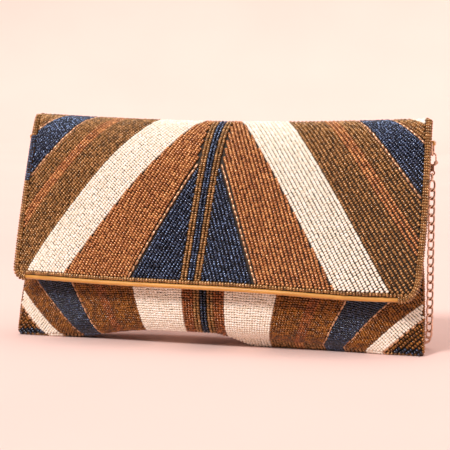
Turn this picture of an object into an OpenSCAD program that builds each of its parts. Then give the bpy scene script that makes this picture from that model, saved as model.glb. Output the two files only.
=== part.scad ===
// Beaded envelope clutch with a fold-over flap and a clip-on chain strap.
// Millimetres, +Z up, +X to the wearer's right, the flap faces -Y.
// The origin is on the resting surface, under the middle of the bag.

/* [Bag] */
// Width of the bag across its bottom corners
bag_w = 280; // [276:1:284]
// Height of the crest of the top fold above the resting surface
bag_h = 150; // [149:0.5:151]
// How far the middle of the bottom seam arches up between the corners
seam_arch = 9; // [6:0.5:10]
// How far the underside is lifted off the resting surface left of the middle
underside_lift = 9.5; // [8:0.5:10]
// How far the bottom corners stand in front of the top fold
lean = 22; // [20:0.5:24]

/* [Flap] */
// Outer radius of the top fold
fold_r = 9; // [8.5:0.25:9.5]
// Half width of the flap at the fold
flap_half_top = 132.5; // [131:0.5:133]
// Half width of the flap at its free edge
flap_half_edge = 134.6; // [133:0.2:136]
// Height of the flap's free edge above the resting surface
flap_edge_z = 44; // [42:0.5:48]
// How far the ends of the free edge stand in front of the fold
flap_edge_out = 38; // [36:0.5:40]
// How much further out the middle of the flap stands than its ends
flap_bulge = 15; // [13:0.5:17]

/* [Layers] */
// Thickness of the bead embroidery
bead_t = 1.8; // [1.5:0.1:2]
// Thickness of the ground cloth that the beads are sewn to
cloth_t = 0.6; // [0.4:0.1:0.7]
// Thickness of the stiffening interlining
stiff_t = 0.8; // [0.5:0.1:0.9]
// Thickness of the satin lining
lining_t = 0.4; // [0.3:0.1:0.5]
// Air between two layers
layer_gap = 0.1; // [0.05:0.05:0.15]

/* [Piping] */
// Radius of the piping round the flap
flap_piping_r = 1.5; // [1.2:0.1:1.7]
// Radius of the piping along the mouth
mouth_piping_r = 1.3; // [1:0.1:1.5]

/* [Magnetic snap] */
// Diameter of both halves of the snap
snap_d = 17; // [15:0.5:18]
// Thickness of the socket half
socket_t = 2; // [1.6:0.1:2.1]
// Thickness of the stud half
stud_plate_t = 1.2; // [1:0.1:1.3]
// Diameter of the stud's nub
nub_d = 4.6; // [4:0.2:5]
// Length of the stud's nub
nub_l = 1.4; // [1:0.1:1.5]

/* [Chain hardware] */
// Radius of the wire of the D-rings
ring_wire_r = 0.7; // [0.6:0.05:0.8]
// Distance between the middles of a D-ring's two sides
ring_w = 7.8; // [7.4:0.2:8]
// Width of the fabric tab that holds a D-ring
tab_w = 5.6; // [5:0.2:5.8]
// Width of the chain, and the diameter of the space that it takes
chain_d = 5; // [4.6:0.1:5]

/* [Hidden] */

// Colours of the pieces
BRONZE = "#7a5530";
GOLD_SATIN = "#dfa04c";
ROSE_GOLD = "#d9a27f";
COTTON = "#b9a58a";
BUCKRAM = "#e8e2d4";

// Facets round exact round pieces, and round small wires
ROUND_FN = 48;
WIRE_FN = 24;
// Steps across and up a panel
ACROSS = 16;
UP = 10;

// ---- where things are, in the middle plane of the bag (y, z) ----
// The fold's middle: the bag's depth is shared equally before and behind the origin
fold_y = 18.4;
fold_z = bag_h - fold_r;
panel_t = bead_t + layer_gap + cloth_t;
back_in_top = fold_r - panel_t;
mouth_z = bag_h - 15;
seam_front = 25;
front_out = 40;
front_out_z = 44;

// Turn of the fold, from the back panel over the crest, where the flap begins
fold_turn = 110;
fold_gap_turn = 3.5;

// ---- curves and surfaces ----
function mix(a, b, s) = a + (b - a) * s;
function bez(p, t) = pow(1 - t, 3) * p[0] + 3 * t * pow(1 - t, 2) * p[1]
    + 3 * t * t * (1 - t) * p[2] + pow(t, 3) * p[3];

// The side seam: its depth and the bag's half width at a height
function seam_y(z) = fold_y - lean + (lean + back_in_top) * z / fold_z;
function half_w(z) = bag_w / 2 - 8 + 8 * max(0, 1 - pow(z / 70, 2))
    + 1.8 * pow(max(0, (z - 60) / 80), 2);
// How much of the middle's swell a place across the bag has
function swell(u) = pow(max(0, 1 - u * u), 0.75);
function arch(u) = 1 - u * u;

// Middle profiles of the insides of the two panels, as (y, z)
front_low = [[fold_y - seam_front, seam_arch], [fold_y - 36, seam_arch + 1],
    [fold_y - front_out - 0.5, 26], [fold_y - front_out, front_out_z]];
front_high = [[fold_y - front_out, front_out_z], [fold_y - 38, 64],
    [fold_y - 25, 104], [fold_y - 8.5, mouth_z]];
back_mid = [[fold_y - seam_front, seam_arch], [fold_y + 24, -45],
    [fold_y + 15, 90], [fold_y + back_in_top, fold_z]];
LOW_SHARE = 0.3;
function front_mid(v) = v < LOW_SHARE ? bez(front_low, v / LOW_SHARE)
    : bez(front_high, (v - LOW_SHARE) / (1 - LOW_SHARE));

// A point of a panel's inside from its middle profile and its end height
function panel_point(u, mid, end_z) =
    let (z = mix(end_z, mid[1], arch(u)))
    [u * half_w(max(z, 0)), mix(seam_y(end_z), mid[0], swell(u)), z];
function front_inside(u, v) = panel_point(u, front_mid(v), (mouth_z + 1) * v);
function back_inside(u, v) = panel_point(u, bez(back_mid, v), fold_z * pow(v, 1.8));

// The flap's outside: it leaves the fold level and runs down to the free edge
function flap_start() = [fold_y + fold_r * cos(fold_turn), fold_z + fold_r * sin(fold_turn)];
function flap_out(u) = flap_edge_out + flap_bulge * arch(u);
function flap_outside(u, t) =
    let (a = flap_start(),
        b = [fold_y - flap_out(u), flap_edge_z],
        leave = mix(7, 22, arch(u)),
        arrive = mix(55, 50, arch(u)),
        slope = mix(14.5, 19, arch(u)),
        p = bez([a, a + leave * [-sin(fold_turn), cos(fold_turn)],
            b + arrive * [sin(slope), cos(slope)], b], t))
    [u * mix(flap_half_top, flap_half_edge, t), p[0], p[1]];

// The outward normal of a surface, in the plane of its profile. side is 1 where
// outward lies to the left of the way up the surface
function profile_normal(p0, p1, side) =
    let (d = [p1[1] - p0[1], p1[2] - p0[2]], l = norm(d))
    [0, -side * d[1] / l, side * d[0] / l];

STEP = 0.004;
function ease(s) = let (c = min(1, max(0, s))) c * c * (3 - 2 * c);
// The underside rests on its right half and its left end, and is lifted clear between them
function lift(x) = underside_lift * ease((x + 112) / 75) * ease((28 - x) / 28);
// The resting surface flattens the panels' undersides
function rested(p, n, off) =
    let (q = p + n * off, low = abs(n[2]) * (panel_t - off))
    [q[0], q[1], max(q[2], lift(q[0]) + low)];
// Points of the three surfaces, off millimetres outside them
function front_at(u, v, off) =
    let (n = profile_normal(front_inside(u, max(0, v - STEP)),
        front_inside(u, min(1, v + STEP)), 1))
    rested(front_inside(u, v), n, off);
function back_at(u, v, off) =
    let (n = profile_normal(back_inside(u, max(0, v - STEP)),
        back_inside(u, min(1, v + STEP)), -1))
    rested(back_inside(u, v), n, off);
function flap_at(u, t, off) =
    let (n = profile_normal(flap_outside(u, min(1, t + STEP)),
        flap_outside(u, max(0, t - STEP)), 1))
    flap_outside(u, t) + n * off;

// ---- shells and tubes ----
// Places across a panel lie closer together near its edges. All of a panel's layers share
// one set of places, so that they stay clear of each other
function across(i) = sin(90 * (2 * i / ACROSS - 1));

// A closed shell between two grids of points, each cols wide and rows long
module shell(outer, inner, cols, rows) {
    n = cols * rows;
    function at(side, i, j) = side * n + j * cols + i;
    cells = [for (j = [0 : rows - 2]) for (i = [0 : cols - 2]) [i, j]];
    outer_faces = [for (c = cells) for (k = [0, 1])
        k == 0 ? [at(0, c[0], c[1]), at(0, c[0] + 1, c[1]), at(0, c[0] + 1, c[1] + 1)]
        : [at(0, c[0], c[1]), at(0, c[0] + 1, c[1] + 1), at(0, c[0], c[1] + 1)]];
    inner_faces = [for (c = cells) for (k = [0, 1])
        k == 0 ? [at(1, c[0], c[1]), at(1, c[0] + 1, c[1] + 1), at(1, c[0] + 1, c[1])]
        : [at(1, c[0], c[1]), at(1, c[0], c[1] + 1), at(1, c[0] + 1, c[1] + 1)]];
    edge = concat([for (i = [0 : cols - 2]) [i, 0]],
        [for (j = [0 : rows - 2]) [cols - 1, j]],
        [for (i = [cols - 1 : -1 : 1]) [i, rows - 1]],
        [for (j = [rows - 1 : -1 : 1]) [0, j]]);
    rim = [for (k = [0 : len(edge) - 1]) let (a = edge[k], b = edge[(k + 1) % len(edge)])
        for (f = [[at(0, a[0], a[1]), at(1, a[0], a[1]), at(1, b[0], b[1])],
            [at(0, a[0], a[1]), at(1, b[0], b[1]), at(0, b[0], b[1])]]) f];
    polyhedron(concat(outer, inner), concat(outer_faces, inner_faces, rim));
}

// One layer of a panel, from off_in to off_out outside its surface. It leaves out margin
// places at either side, and runs from row j0 to row j1
module front_layer(off_out, off_in, margin = 0, j0 = 0, j1 = UP) {
    function grid(off) = [for (j = [j0 : j1]) for (i = [margin : ACROSS - margin])
        front_at(across(i), j / UP, off)];
    shell(grid(off_in), grid(off_out), ACROSS + 1 - 2 * margin, j1 - j0 + 1);
}
module back_layer(off_out, off_in, margin = 0, j0 = 0, j1 = UP) {
    function grid(off) = [for (j = [j0 : j1]) for (i = [margin : ACROSS - margin])
        back_at(across(i), j / UP, off)];
    shell(grid(off_out), grid(off_in), ACROSS + 1 - 2 * margin, j1 - j0 + 1);
}
function flap_rows(j0, j1) = [for (j = [j0 : j1]) pow(j / UP, 1.3)];
module flap_layer(off_out, off_in, margin = 0, rows = flap_rows(0, UP)) {
    function grid(off) = [for (t = rows) for (i = [margin : ACROSS - margin])
        flap_at(across(i), t, off)];
    shell(grid(off_out), grid(off_in), ACROSS + 1 - 2 * margin, len(rows));
}

// A round tube along a list of points, sides corners round
function tangent(p, i) =
    let (d = p[min(i + 1, len(p) - 1)] - p[max(i - 1, 0)]) d / norm(d);
function cross_axis(t) = abs(t[2]) < 0.8 ? [0, 0, 1] : [0, 1, 0];
// Carries the tube's side direction along, so that the tube doesn't twist
function carried(p, i, a) = i >= len(p) ? []
    : let (t = tangent(p, i), b = a - t * (a * t), c = b / norm(b))
    concat([c], carried(p, i + 1, c));
module tube(path, r, sides) {
    n = len(path);
    axes = carried(path, 0, cross(tangent(path, 0), cross_axis(tangent(path, 0))));
    points = [for (i = [0 : n - 1]) let (a = axes[i], b = cross(tangent(path, i), a))
        for (k = [0 : sides - 1])
        path[i] + r * (a * cos(360 * k / sides) + b * sin(360 * k / sides))];
    walls = [for (i = [0 : n - 2]) for (k = [0 : sides - 1]) let (m = (k + 1) % sides)
        for (f = [[i * sides + k, (i + 1) * sides + k, (i + 1) * sides + m],
            [i * sides + k, (i + 1) * sides + m, i * sides + m]]) f];
    polyhedron(points, concat(walls, [[for (k = [0 : sides - 1]) k]],
        [[for (k = [sides - 1 : -1 : 0]) (n - 1) * sides + k]]));
}

// ---- front and back panels ----
module front_beadwork() {
    color(BRONZE) front_layer(panel_t, cloth_t + layer_gap);
}
module front_cloth() {
    color(COTTON) front_layer(cloth_t, 0);
}
module front_stiffener() {
    color(BUCKRAM) front_layer(-layer_gap, -layer_gap - stiff_t, 2, 1, UP - 1);
}
module front_lining() {
    color(GOLD_SATIN)
        front_layer(-2 * layer_gap - stiff_t, -2 * layer_gap - stiff_t - lining_t, 2, 1, UP);
}
module back_beadwork() {
    color(BRONZE) back_layer(panel_t, cloth_t + layer_gap);
}
module back_cloth() {
    color(COTTON) back_layer(cloth_t, 0);
}
module back_stiffener() {
    color(BUCKRAM) back_layer(-layer_gap, -layer_gap - stiff_t, 2, 3, UP - 1);
}
module back_lining() {
    color(GOLD_SATIN)
        back_layer(-2 * layer_gap - stiff_t, -2 * layer_gap - stiff_t - lining_t, 2, 1, UP);
}
// A flat slip pocket sewn to the lining of the back
pocket_off = -3 * layer_gap - stiff_t - lining_t;
module inner_pocket() {
    color(GOLD_SATIN) back_layer(pocket_off, pocket_off - lining_t, 5, 5, 8);
}

// ---- top fold ----
// A strip of the fold, between two radii and two turns from the back panel
module fold_strip(r_out, r_in, turn0, turn1) {
    translate([-flap_half_top, fold_y, fold_z]) rotate([90, 0, 90])
        rotate([0, 0, turn0]) linear_extrude(2 * flap_half_top)
            intersection() {
                difference() {
                    circle(r = r_out, $fn = ROUND_FN);
                    circle(r = r_in, $fn = ROUND_FN);
                }
                polygon([[0, 0], 3 * r_out * [1, 0],
                    3 * r_out * [cos((turn1 - turn0) / 2), sin((turn1 - turn0) / 2)],
                    3 * r_out * [cos(turn1 - turn0), sin(turn1 - turn0)]]);
            }
}
module fold_beadwork() {
    color(BRONZE) fold_strip(fold_r, fold_r - panel_t, fold_gap_turn, fold_turn - fold_gap_turn);
}
fold_lining_r = fold_r - panel_t - layer_gap;
module fold_lining() {
    color(GOLD_SATIN)
        fold_strip(fold_lining_r, fold_lining_r - lining_t, fold_gap_turn, fold_turn - fold_gap_turn);
}

// ---- flap ----
module flap_beadwork() {
    color(BRONZE) flap_layer(0, -bead_t);
}
module flap_cloth() {
    color(COTTON) flap_layer(-bead_t - layer_gap, -panel_t);
}
flap_stiff_off = -panel_t - layer_gap;
flap_lining_off = flap_stiff_off - stiff_t - layer_gap;
flap_total_t = -flap_lining_off + lining_t;
module flap_stiffener() {
    color(BUCKRAM) flap_layer(flap_stiff_off, flap_stiff_off - stiff_t, 1, flap_rows(1, UP - 1));
}
// The lining takes the turn off the fold in one longer step
flap_lining_rows = concat([0.02], flap_rows(2, UP));
module flap_lining() {
    color(GOLD_SATIN) flap_layer(flap_lining_off, flap_lining_off - lining_t, rows = flap_lining_rows);
}
// Piping round the flap's two ends and its free edge, just outside the layers
piping_off = -flap_total_t / 2;
piping_clear = flap_piping_r + 0.1;
flap_ends = [for (j = [1 : 12]) flap_at(-1, j / 13, piping_off) - [piping_clear, 0, 0]];
flap_ends_right = [for (j = [12 : -1 : 1]) flap_at(1, j / 13, piping_off) + [piping_clear, 0, 0]];
// Corner turns of the piping, as shares of its clear distance
corner_turn = [20, 45, 70];
function edge_down(u) = let (a = flap_at(u, 1, piping_off), b = flap_at(u, 0.98, piping_off))
    (a - b) / norm(a - b);
function piping_corner(side, turn) = flap_at(side, 1, piping_off)
    + piping_clear * (side * cos(turn) * [1, 0, 0] + sin(turn) * edge_down(side));
flap_piping_path = concat(flap_ends,
    [for (turn = corner_turn) piping_corner(-1, turn)],
    [for (i = [0 : ACROSS]) flap_at(across(i), 1, piping_off) + piping_clear * edge_down(across(i))],
    [for (k = [2 : -1 : 0]) piping_corner(1, corner_turn[k])],
    flap_ends_right);
module flap_piping() {
    color(GOLD_SATIN) tube(flap_piping_path, flap_piping_r, 8);
}
// Piping along the top edge of the front panel
mouth_off = (panel_t - stiff_t - lining_t) / 2;
mouth_piping_path = [for (i = [0 : ACROSS])
    front_at(0.985 * across(i), 1, mouth_off) + [0, 0, mouth_piping_r + 0.4]];
module mouth_piping() {
    color(GOLD_SATIN) tube(mouth_piping_path, mouth_piping_r, 8);
}

// ---- magnetic snap ----
// It faces out of the front panel at one height, square to the panel there
snap_v = 0.48;
snap_base = front_at(0, snap_v, panel_t);
snap_up = front_at(0, snap_v + 0.02, panel_t) - front_at(0, snap_v - 0.02, panel_t);
snap_tilt = atan2(snap_up[1], snap_up[2]);
// Children are drawn with +Z out of the panel and the panel's outside at z = 0
module at_snap() {
    translate(snap_base) rotate([90 - snap_tilt, 0, 0]) children();
}
snap_air = 0.15;
prong_w = 2.4;
prong_t = 0.5;
prong_x = 4;
nub_clear = 0.3;
seat_gap = 0.25;
// Two flat prongs that pass through the cloth and fold over the washer
module prongs(from, to) {
    for (side = [-1, 1])
        translate([side * prong_x - prong_t / 2, -prong_w / 2, from]) cube([prong_t, prong_w, to - from]);
}
washer_d = 14;
washer_t = 0.6;
socket_washer_z = -panel_t - stiff_t - 5 * layer_gap - washer_t;
module snap_socket() {
    color(ROSE_GOLD) at_snap() {
        difference() {
            translate([0, 0, snap_air]) cylinder(h = socket_t, d = snap_d, $fn = ROUND_FN);
            translate([0, 0, snap_air + 0.5])
                cylinder(h = socket_t, d = nub_d + 2 * nub_clear, $fn = ROUND_FN);
        }
        prongs(socket_washer_z, snap_air + 0.2);
    }
}
prong_fit = 0.15;
module washer(z) {
    difference() {
        translate([0, 0, z]) cylinder(h = washer_t, d = washer_d, $fn = ROUND_FN);
        translate([0, 0, z - 1]) cylinder(h = 3, d = 4, $fn = WIRE_FN);
        for (side = [-1, 1])
            translate([side * prong_x - prong_t / 2 - prong_fit, -prong_w / 2 - prong_fit, z - 1])
                cube([prong_t + 2 * prong_fit, prong_w + 2 * prong_fit, 3]);
    }
}
module snap_socket_washer() {
    color(ROSE_GOLD) at_snap() washer(socket_washer_z);
}
stud_z = snap_air + socket_t + seat_gap;
stud_washer_z = stud_z + stud_plate_t + 0.4;
module snap_stud() {
    color(ROSE_GOLD) at_snap() {
        translate([0, 0, stud_z]) cylinder(h = stud_plate_t, d = snap_d, $fn = ROUND_FN);
        translate([0, 0, stud_z - nub_l]) cylinder(h = nub_l + 0.5, d = nub_d, $fn = ROUND_FN);
        prongs(stud_z + 0.5, stud_washer_z + washer_t);
    }
}
module snap_stud_washer() {
    color(ROSE_GOLD) at_snap() washer(stud_washer_z);
}

// ---- D-rings, clasps and chain, drawn on the right and mirrored to the left ----
hang_x = 137;
hang_y = fold_y - 3;
bar_z = 134;
ring_side_l = 3.6;
bow_r = ring_w / 2;
bow_z = bar_z - ring_side_l - bow_r;
tab_t = 1.1;
pin_gap = 0.05;
module rightward(side) {
    if (side > 0) children();
    else mirror([1, 0, 0]) children();
}
tab_x = 133.2;
tab_back = 22.4;
tab_seam = 3;
module ring_tab(side) {
    color(GOLD_SATIN) rightward(side) {
        difference() {
            union() {
                translate([hang_x, hang_y + tab_w / 2, bar_z]) rotate([90, 0, 0])
                    cylinder(h = tab_w, r = ring_wire_r + tab_t, $fn = ROUND_FN);
                translate([tab_x, hang_y - tab_w / 2, bar_z - tab_t])
                    cube([hang_x - tab_x, tab_back - hang_y + tab_w / 2, 2 * tab_t]);
                // The tab's end, sewn into the side seam
                translate([tab_x - tab_seam, tab_back - 1.4, bar_z - tab_t / 2])
                    cube([tab_seam + 1, 1.4, tab_t]);
            }
            translate([hang_x, hang_y + tab_w, bar_z]) rotate([90, 0, 0])
                cylinder(h = 3 * tab_w, r = ring_wire_r + pin_gap, $fn = ROUND_FN);
            translate([hang_x - ring_wire_r - tab_t, hang_y + tab_w / 2, bar_z - 2])
                cube([8, 8, 4]);
        }
    }
}
module d_ring(side) {
    color(ROSE_GOLD) rightward(side) translate([hang_x, hang_y, 0]) {
        translate([0, bow_r, bar_z]) rotate([90, 0, 0])
            cylinder(h = ring_w, r = ring_wire_r, $fn = WIRE_FN);
        for (y = [-bow_r, bow_r]) translate([0, y, 0]) {
            translate([0, 0, bar_z - ring_side_l])
                cylinder(h = ring_side_l, r = ring_wire_r, $fn = WIRE_FN);
            translate([0, 0, bar_z]) sphere(r = ring_wire_r, $fn = WIRE_FN);
        }
        translate([0, 0, bar_z - ring_side_l]) rotate([0, 90, 0]) rotate([0, 0, -90])
            rotate_extrude(angle = 180, $fn = ROUND_FN)
                translate([bow_r, 0]) circle(r = ring_wire_r, $fn = WIRE_FN);
    }
}

// Lobster clasp: an oval hook, closed on its outer side by a sprung gate
hook_r = 1.8;
hook_rim = 0.9;
hook_reach = 1.5;
clasp_t = 2.2;
gate_t = 1.2;
gate_x = hook_r + hook_rim / 2;
gate_low = -2.4;
gate_high = 1.5;
gate_w = 0.8;
pin_r = 0.42;
pin_clear = 0.05;
ear_r = 0.95;
eye_z = -9;
eye_r = 1.9;
eye_hole_r = 1.05;
eye_t = 1.2;
// The hook hangs on the D-ring's bow, and the bow rises towards the hook's two faces
bow_room = 0.3;
hook_z = bow_z + ring_wire_r + bow_room - hook_reach - hook_r;
// Children are drawn in the hook's plane, x outwards and y up, and get thickness t
module in_clasp(t) {
    translate([hang_x, hang_y + t / 2, hook_z]) rotate([90, 0, 0]) linear_extrude(t) children();
}
module oval(r) {
    for (y = [-hook_reach, hook_reach]) translate([0, y]) circle(r = r, $fn = ROUND_FN);
    translate([-r, -hook_reach]) square([2 * r, 2 * hook_reach]);
}
cheek_t = (clasp_t - gate_t) / 2 - 0.1;
cheek_r = ear_r + 0.3;
gate_slot_low = gate_low - ear_r - 0.15;
gate_slot_high = gate_high + 0.15;
gate_slot_x = 0.9;
shank_w = 2.4;
// The hook's and the eye's outline, with the gate's opening cut out of the hook
module hook_outline() {
    difference() {
        oval(hook_r + hook_rim);
        oval(hook_r);
        translate([gate_slot_x, gate_slot_low]) square([4, gate_slot_high - gate_slot_low]);
    }
}
module eye_outline() {
    difference() {
        union() {
            translate([-shank_w / 2, eye_z]) square([shank_w, -eye_z - hook_reach - hook_r - hook_rim / 2]);
            translate([0, eye_z]) circle(r = eye_r, $fn = ROUND_FN);
        }
        translate([0, eye_z]) circle(r = eye_hole_r, $fn = WIRE_FN);
    }
}
// One of the two cheeks that carry the gate's pin
module cheek_outline() {
    difference() {
        union() {
            translate([gate_x, gate_low]) circle(r = cheek_r, $fn = ROUND_FN);
            translate([-0.4, gate_low - cheek_r - 0.6]) square([gate_x + 0.4, 1]);
        }
        translate([gate_x, gate_low]) circle(r = pin_r, $fn = WIRE_FN);
        translate([-3, -hook_reach - hook_r - 0.1]) square([3 + gate_x - cheek_r, 3]);
    }
}
module clasp(side) {
    color(ROSE_GOLD) rightward(side) {
        in_clasp(clasp_t) hook_outline();
        in_clasp(eye_t) eye_outline();
        for (y = [-clasp_t / 2, clasp_t / 2 - cheek_t]) translate([0, y + cheek_t / 2, 0])
            in_clasp(cheek_t) cheek_outline();
    }
}
module clasp_pin(side) {
    color(ROSE_GOLD) rightward(side) translate([hang_x + gate_x, hang_y + clasp_t / 2, hook_z + gate_low])
        rotate([90, 0, 0]) cylinder(h = clasp_t, r = pin_r, $fn = WIRE_FN);
}
// The leaf spring behind the gate's foot
module clasp_spring(side) {
    color("silver") rightward(side)
        translate([hang_x + 0.95, hang_y - 0.3, hook_z + gate_low - ear_r - 0.1]) cube([0.2, 0.6, 0.8]);
}
module clasp_gate(side) {
    color(ROSE_GOLD) rightward(side) in_clasp(gate_t) difference() {
        union() {
            translate([gate_x, gate_low]) circle(r = ear_r, $fn = ROUND_FN);
            translate([gate_x - gate_w / 2, gate_low]) square([gate_w, gate_high - gate_low]);
            // Thumb nib
            translate([gate_x + gate_w / 2, gate_low + 0.9]) circle(r = 0.55, $fn = WIRE_FN);
        }
        translate([gate_x, gate_low]) circle(r = pin_r + pin_clear, $fn = WIRE_FN);
    }
}
jump_r = 2.3;
jump_wire_r = 0.5;
jump_room = 0.2;
jump_z = hook_z + eye_z - eye_hole_r + jump_wire_r + jump_room - jump_r;
module jump_ring(side) {
    color(ROSE_GOLD) rightward(side) translate([hang_x, hang_y, jump_z]) rotate([0, 90, 0])
        rotate_extrude($fn = ROUND_FN) translate([jump_r, 0]) circle(r = jump_wire_r, $fn = WIRE_FN);
}

// The chain: down from the right clasp, in three runs behind the bag, and up to the left
// clasp. Points of its middle line, from the right end to the left
rest_z = 2.6;
near_run = 43;
middle_run = 69;
far_run = 95;
CHAIN_ROUTE = [
    [hang_x, hang_y, 109.7], [hang_x, hang_y, 80], [hang_x, hang_y, 50], [hang_x, hang_y, 30],
    [hang_x, 16, 19], [136.5, 18.5, 10], [134.5, 23.5, 4.6], [130, 30, 2.7], [122, 36, rest_z],
    [111, 40, rest_z], [96, 42, rest_z], [70, near_run, rest_z], [40, near_run, rest_z],
    [10, near_run, rest_z], [-20, near_run, rest_z], [-50, near_run, rest_z],
    [-76, near_run, rest_z], [-92, near_run, rest_z], [-102, near_run, rest_z],
    [-111, 47, rest_z], [-115, 56, rest_z], [-111, 65, rest_z], [-102, middle_run, rest_z],
    [-92, middle_run, rest_z], [-76, middle_run, rest_z], [-50, middle_run, rest_z],
    [-20, middle_run, rest_z], [10, middle_run, rest_z], [40, middle_run, rest_z],
    [64, middle_run, rest_z], [74, middle_run, rest_z], [83, 73, rest_z], [87, 82, rest_z],
    [83, 91, rest_z], [74, far_run, rest_z], [64, far_run, rest_z], [40, far_run, rest_z],
    [10, far_run, rest_z], [-20, far_run, rest_z], [-50, far_run, rest_z], [-78, 93, rest_z],
    [-100, 86, rest_z], [-116, 74, rest_z], [-126, 60, rest_z], [-132, 46, rest_z],
    [-135, 34, 2.8], [-136.5, 25, 5], [-hang_x, 18.6, 11], [-hang_x, 16, 20],
    [-hang_x, hang_y, 32], [-hang_x, hang_y, 50], [-hang_x, hang_y, 80],
    [-hang_x, hang_y, 109.7]];
// A smooth curve along the route's points: where it is at share s of stretch i
function along(p, i, s) =
    let (last = len(p) - 1,
        a = i == 0 ? 2 * p[0] - p[1] : p[i - 1],
        b = p[i],
        c = p[i + 1],
        d = i == last - 1 ? 2 * p[last] - p[last - 1] : p[i + 2])
    (a * pow(1 - s, 3) + b * (3 * pow(s, 3) - 6 * s * s + 4)
        + c * (-3 * pow(s, 3) + 3 * s * s + 3 * s + 1) + d * pow(s, 3)) / 6;
CHAIN_RINGS = 78;
chain_path = [for (k = [0 : CHAIN_RINGS - 1])
    let (q = k * (len(CHAIN_ROUTE) - 1) / (CHAIN_RINGS - 1), i = min(floor(q), len(CHAIN_ROUTE) - 2))
    along(CHAIN_ROUTE, i, q - i)];
module chain_strap() {
    color(ROSE_GOLD) tube(chain_path, chain_d / 2, 8);
}

front_beadwork();
front_cloth();
front_stiffener();
front_lining();
back_beadwork();
back_cloth();
back_stiffener();
back_lining();
inner_pocket();
fold_beadwork();
fold_lining();
flap_beadwork();
flap_cloth();
flap_stiffener();
flap_lining();
flap_piping();
mouth_piping();
snap_socket();
snap_socket_washer();
snap_stud();
snap_stud_washer();
ring_tab(-1);  // left_ring_tab
d_ring(-1);  // left_d_ring
clasp(-1);  // left_clasp
clasp_pin(-1);  // left_clasp_pin
clasp_spring(-1);  // left_clasp_spring
clasp_gate(-1);  // left_clasp_gate
jump_ring(-1);  // left_jump_ring
ring_tab(1);  // right_ring_tab
d_ring(1);  // right_d_ring
clasp(1);  // right_clasp
clasp_pin(1);  // right_clasp_pin
clasp_spring(1);  // right_clasp_spring
clasp_gate(1);  // right_clasp_gate
jump_ring(1);  // right_jump_ring
chain_strap();
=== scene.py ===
import math

import bpy
import mathutils
import numpy as np
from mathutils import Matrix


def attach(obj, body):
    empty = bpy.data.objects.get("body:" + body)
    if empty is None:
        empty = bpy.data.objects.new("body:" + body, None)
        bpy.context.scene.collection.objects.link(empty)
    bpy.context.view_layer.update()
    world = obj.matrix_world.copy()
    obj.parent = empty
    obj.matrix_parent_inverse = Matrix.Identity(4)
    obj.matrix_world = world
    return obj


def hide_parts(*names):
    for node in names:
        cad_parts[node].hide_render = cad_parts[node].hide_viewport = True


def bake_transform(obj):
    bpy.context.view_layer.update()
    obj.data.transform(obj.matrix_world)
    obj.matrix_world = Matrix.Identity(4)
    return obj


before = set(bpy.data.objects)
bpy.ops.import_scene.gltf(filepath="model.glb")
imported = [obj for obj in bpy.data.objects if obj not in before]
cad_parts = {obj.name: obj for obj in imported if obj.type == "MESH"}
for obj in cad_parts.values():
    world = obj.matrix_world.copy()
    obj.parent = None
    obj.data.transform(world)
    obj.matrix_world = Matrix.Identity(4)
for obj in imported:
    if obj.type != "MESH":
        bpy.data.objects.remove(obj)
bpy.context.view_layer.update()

MM = 0.001
rng = np.random.default_rng(11)

# ---------------------------------------------------------------- driving sizes, as in the CAD, in mm
BAG_W, BAG_H = 280, 150
SEAM_ARCH, UNDERSIDE_LIFT, LEAN = 9, 9.5, 22
FOLD_R = 9
FLAP_HALF_TOP, FLAP_HALF_EDGE = 132.5, 134.6
FLAP_EDGE_Z, FLAP_EDGE_OUT, FLAP_BULGE = 44, 38, 15
BEAD_T, CLOTH_T, STIFF_T, LINING_T, LAYER_GAP = 1.8, 0.6, 0.8, 0.4, 0.1
FOLD_Y = 18.4
FOLD_Z = BAG_H - FOLD_R
PANEL_T = BEAD_T + LAYER_GAP + CLOTH_T
BACK_IN_TOP = FOLD_R - PANEL_T
MOUTH_Z = BAG_H - 15
SEAM_FRONT, FRONT_OUT, FRONT_OUT_Z = 25, 40, 44
FOLD_TURN = math.radians(110)
FLAP_LENGTH = 114
# A small step along a panel's profile, as a share of it
STEP = 0.004
# How the soft bag departs from the CAD's surfaces: the crest's sag, the drop of the right half of
# the flap's edge, and how far two corners stand in
CREST_SAG, RIGHT_DROP = 3.6, 4.5
UPPER_LEFT_IN, LOWER_RIGHT_IN = 1.2, 4
# The radius of the flap's two lower corners
LEFT_CORNER_R, RIGHT_CORNER_R = 3.5, 7.5

# ---------------------------------------------------------------- the bag's surfaces


def mix(a, b, s):
    return a + (b - a) * s


def smooth(s):
    s = np.clip(s, 0, 1)
    return s * s * (3 - 2 * s)


def bez(points, t):
    """A point of a Bezier curve whose four points may be arrays as well."""
    a, b, c, d = points
    return [
        (1 - t) ** 3 * a[k] + 3 * t * (1 - t) ** 2 * b[k] + 3 * t * t * (1 - t) * c[k] + t**3 * d[k]
        for k in (0, 1)
    ]


def seam_y(z):
    """The depth of the side seams at a height."""
    return FOLD_Y - LEAN + (LEAN + BACK_IN_TOP) * z / FOLD_Z


def half_w(z):
    """The bag's half width at a height."""
    low = 8 * np.maximum(0, 1 - (z / 70) ** 2)
    return BAG_W / 2 - 8 + low + 1.8 * np.maximum(0, (z - 60) / 80) ** 2


def arch(u):
    return 1 - u * u


def swell(u):
    """How much of the middle's swell a place across the bag has."""
    return np.maximum(0, arch(u)) ** 0.75


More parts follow.
